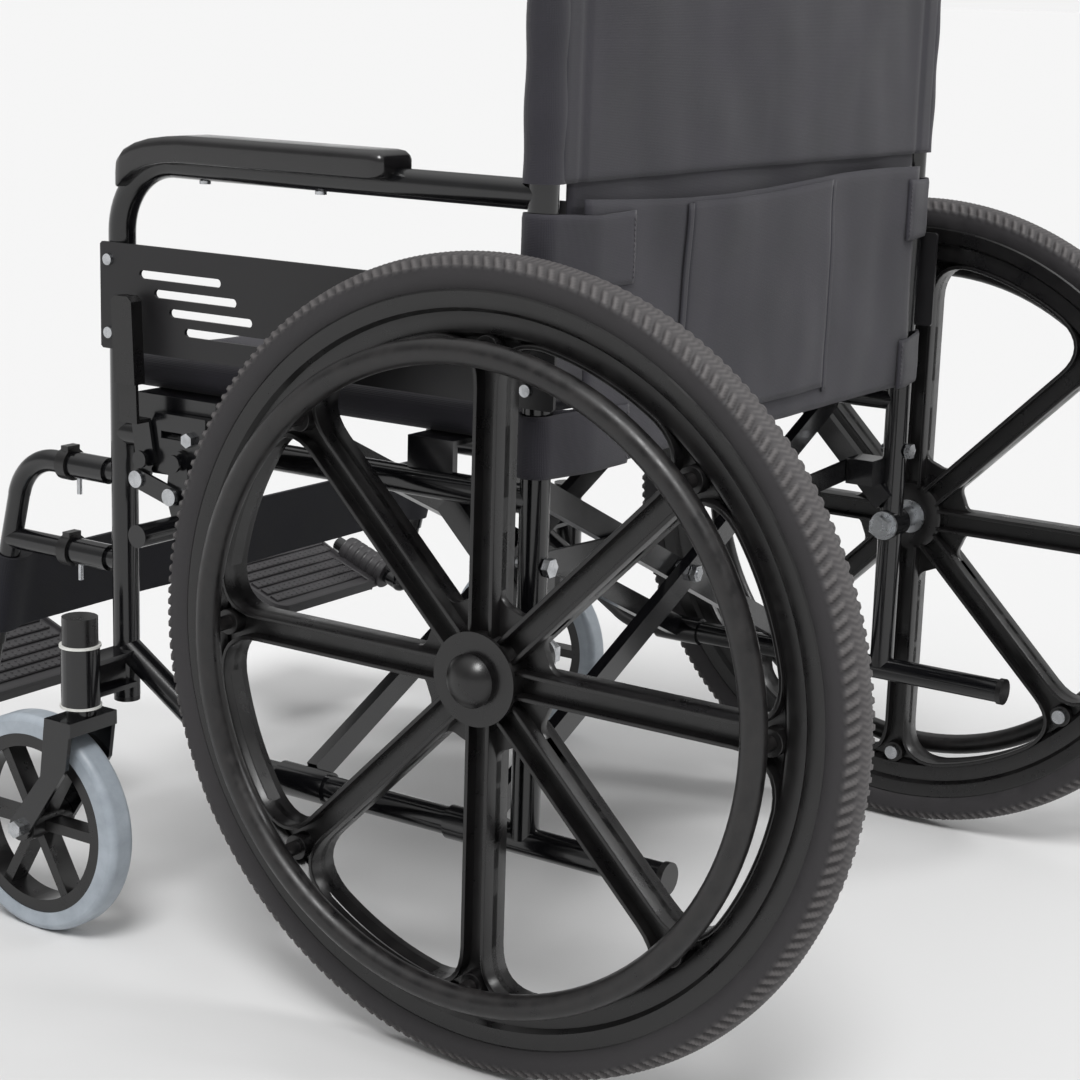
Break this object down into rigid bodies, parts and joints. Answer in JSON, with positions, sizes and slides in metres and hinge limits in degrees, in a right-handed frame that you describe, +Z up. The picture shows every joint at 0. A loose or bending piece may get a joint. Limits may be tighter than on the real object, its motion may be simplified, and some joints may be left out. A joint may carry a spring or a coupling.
{
  "type": "folding manual wheelchair",
  "caption": "Self-propelled folding wheelchair with moulded spoke wheels, hand rims, swivel casters, fixed armrests, flip-up footplates and a double cross brace.",
  "frame": {"origin": "on the floor below the centre of the bounding box, in the middle of the track and of the length", "axes": "+Z up, -Y towards the front of the chair where the footplates are, +X towards the rider's left"},
  "size_m": [0.802, 1.0517, 0.931],
  "materials": {
    "frame_paint": "gloss",
    "black_plastic": "satin",
    "black_foam": "matt",
    "grey_plastic": "satin",
    "zinc": "satin",
    "white_nylon": "satin",
    "tyre_rubber": "matt",
    "caster_rubber": "satin",
    "nylon_fabric": "woven",
    "strap_webbing": "woven"
  },
  "bodies": {
    "left_frame": {"left_side_frame": "frame_paint", "left_tube_caps": "black_plastic", "left_push_grip": "black_foam", "left_arm_pad": "black_foam", "left_side_panel": "black_plastic", "left_frame_fasteners": "zinc", "left_axle": "zinc", "left_brake_bracket": "frame_paint", "left_legrest": "frame_paint", "left_legrest_locks": "black_plastic", "upper_back": "nylon_fabric", "lower_back": "nylon_fabric", "calf_strap": "strap_webbing"},
    "brace_a": {"cross_brace_a": "frame_paint", "brace_a_fasteners": "zinc"},
    "brace_b": {"cross_brace_b": "frame_paint", "brace_b_fasteners": "zinc"},
    "right_frame": {"right_side_frame": "frame_paint", "right_tube_caps": "black_plastic", "right_push_grip": "black_foam", "right_arm_pad": "black_foam", "right_side_panel": "black_plastic", "right_frame_fasteners": "zinc", "right_axle": "zinc", "right_brake_bracket": "frame_paint", "right_legrest": "frame_paint", "right_legrest_locks": "black_plastic"},
    "seat": {"seat_sling": "nylon_fabric"},
    "left_stay": {"left_stay_link": "frame_paint"},
    "right_stay": {"right_stay_link": "frame_paint"},
    "left_wheel": {"left_tyre": "tyre_rubber", "left_mag_wheel": "black_plastic", "left_hand_rim": "frame_paint", "left_wheel_hardware": "zinc", "left_hub_cap": "black_plastic"},
    "left_caster_fork": {"left_caster_fork": "frame_paint", "left_caster_axle": "zinc", "left_caster_washers": "white_nylon"},
    "left_caster_wheel": {"left_caster_tyre": "caster_rubber", "left_caster_wheel": "black_plastic"},
    "left_brake_lever": {"left_brake_lever": "frame_paint"},
    "left_brake_link": {"left_brake_link": "frame_paint"},
    "left_brake_arm": {"left_brake_arm": "frame_paint"},
    "left_foot_tube": {"left_foot_tube": "frame_paint"},
    "left_footplate": {"left_footplate": "grey_plastic"},
    "right_wheel": {"right_tyre": "tyre_rubber", "right_mag_wheel": "black_plastic", "right_hand_rim": "frame_paint", "right_wheel_hardware": "zinc", "right_hub_cap": "black_plastic"},
    "right_caster_fork": {"right_caster_fork": "frame_paint", "right_caster_axle": "zinc", "right_caster_washers": "white_nylon"},
    "right_caster_wheel": {"right_caster_tyre": "caster_rubber", "right_caster_wheel": "black_plastic"},
    "right_brake_lever": {"right_brake_lever": "frame_paint"},
    "right_brake_link": {"right_brake_link": "frame_paint"},
    "right_brake_arm": {"right_brake_arm": "frame_paint"},
    "right_foot_tube": {"right_foot_tube": "frame_paint"},
    "right_footplate": {"right_footplate": "grey_plastic"}
  },
  "joints": [
    {"name": "fold", "type": "hinge", "parent": "left_frame", "child": "brace_a", "pos_m": [0.303, 0.09286, 0.1625], "axis": [0, 1, 0], "range_deg": [0, 32], "deforming": ["seat_sling", "upper_back", "lower_back", "calf_strap"]},
    {"name": "brace_pivot", "type": "hinge", "parent": "brace_a", "child": "brace_b", "pos_m": [0, 0.09286, 0.30689], "axis": [0, 1, 0], "range_deg": [-64.07, 0]},
    {"name": "right_frame_hinge", "type": "hinge", "parent": "brace_b", "child": "right_frame", "pos_m": [-0.303, 0.09286, 0.1625], "axis": [0, 1, 0], "range_deg": [0, 32.04]},
    {"name": "seat_hinge", "type": "hinge", "parent": "brace_b", "child": "seat", "pos_m": [0.27, 0.00086, 0.471], "axis": [0, 1, 0], "range_deg": [0, 32.04]},
    {"name": "left_stay_pivot", "type": "hinge", "parent": "left_frame", "child": "left_stay", "pos_m": [0.277, 0.17486, 0.357], "axis": [0, 1, 0], "range_deg": [0, 58.95]},
    {"name": "right_stay_pivot", "type": "hinge", "parent": "right_frame", "child": "right_stay", "pos_m": [-0.277, 0.18686, 0.357], "axis": [0, 1, 0], "range_deg": [-58.95, 0]},
    {"name": "left_wheel_spin", "type": "hinge", "parent": "left_frame", "child": "left_wheel", "pos_m": [0.355, 0.22086, 0.305], "axis": [1, 0, 0], "continuous": true},
    {"name": "left_caster_swivel", "type": "hinge", "parent": "left_frame", "child": "left_caster_fork", "pos_m": [0.361, -0.18214, 0.23], "axis": [0, 0, 1], "continuous": true},
    {"name": "left_caster_spin", "type": "hinge", "parent": "left_caster_fork", "child": "left_caster_wheel", "pos_m": [0.361, -0.22914, 0.094], "axis": [1, 0, 0], "continuous": true},
    {"name": "left_brake", "type": "hinge", "parent": "left_frame", "child": "left_brake_lever", "pos_m": [0.31849, -0.14614, 0.409], "axis": [1, 0, 0], "range_deg": [0, 35]},
    {"name": "left_brake_link_pivot", "type": "hinge", "parent": "left_brake_lever", "child": "left_brake_link", "pos_m": [0.32149, -0.15155, 0.39183], "axis": [1, 0, 0], "range_deg": [-35.05, 0]},
    {"name": "left_brake_arm_pivot", "type": "hinge", "parent": "left_frame", "child": "left_brake_arm", "pos_m": [0.31849, -0.11014, 0.41], "axis": [1, 0, 0], "range_deg": [0, 21.87]},
    {"name": "left_foot_height", "type": "slide", "parent": "left_frame", "child": "left_foot_tube", "axis": [0, -0.2419, -0.9703], "range_m": [0, 0.04]},
    {"name": "left_footplate_flip", "type": "hinge", "parent": "left_foot_tube", "child": "left_footplate", "pos_m": [0.303, -0.36064, 0.15], "axis": [0, 0.9397, -0.342], "range_deg": [0, 75]},
    {"name": "right_wheel_spin", "type": "hinge", "parent": "right_frame", "child": "right_wheel", "pos_m": [-0.355, 0.22086, 0.305], "axis": [1, 0, 0], "continuous": true},
    {"name": "right_caster_swivel", "type": "hinge", "parent": "right_frame", "child": "right_caster_fork", "pos_m": [-0.361, -0.18214, 0.23], "axis": [0, 0, 1], "continuous": true},
    {"name": "right_caster_spin", "type": "hinge", "parent": "right_caster_fork", "child": "right_caster_wheel", "pos_m": [-0.361, -0.22914, 0.094], "axis": [1, 0, 0], "continuous": true},
    {"name": "right_brake", "type": "hinge", "parent": "right_frame", "child": "right_brake_lever", "pos_m": [-0.31849, -0.14614, 0.409], "axis": [1, 0, 0], "range_deg": [0, 35]},
    {"name": "right_brake_link_pivot", "type": "hinge", "parent": "right_brake_lever", "child": "right_brake_link", "pos_m": [-0.32149, -0.15155, 0.39183], "axis": [1, 0, 0], "range_deg": [-35.05, 0]},
    {"name": "right_brake_arm_pivot", "type": "hinge", "parent": "right_frame", "child": "right_brake_arm", "pos_m": [-0.31849, -0.11014, 0.41], "axis": [1, 0, 0], "range_deg": [0, 21.87]},
    {"name": "right_foot_height", "type": "slide", "parent": "right_frame", "child": "right_foot_tube", "axis": [0, -0.2419, -0.9703], "range_m": [0, 0.04]},
    {"name": "right_footplate_flip", "type": "hinge", "parent": "right_foot_tube", "child": "right_footplate", "pos_m": [-0.303, -0.36064, 0.15], "axis": [0, -0.9397, 0.342], "range_deg": [0, 75]}
  ],
  "couplings": [
    {"joint": "brace_pivot", "follows": "fold", "ratio": -2},
    {"joint": "right_frame_hinge", "follows": "fold", "ratio": 1},
    {"joint": "seat_hinge", "follows": "fold", "ratio": 1},
    {"joint": "left_stay_pivot", "follows": "fold", "ratio": 1.84},
    {"joint": "right_stay_pivot", "follows": "fold", "ratio": -1.84},
    {"joint": "left_brake_link_pivot", "follows": "left_brake", "ratio": -1},
    {"joint": "left_brake_arm_pivot", "follows": "left_brake", "ratio": 0.62339},
    {"joint": "right_brake_link_pivot", "follows": "right_brake", "ratio": -1},
    {"joint": "right_brake_arm_pivot", "follows": "right_brake", "ratio": 0.62339}
  ]
}
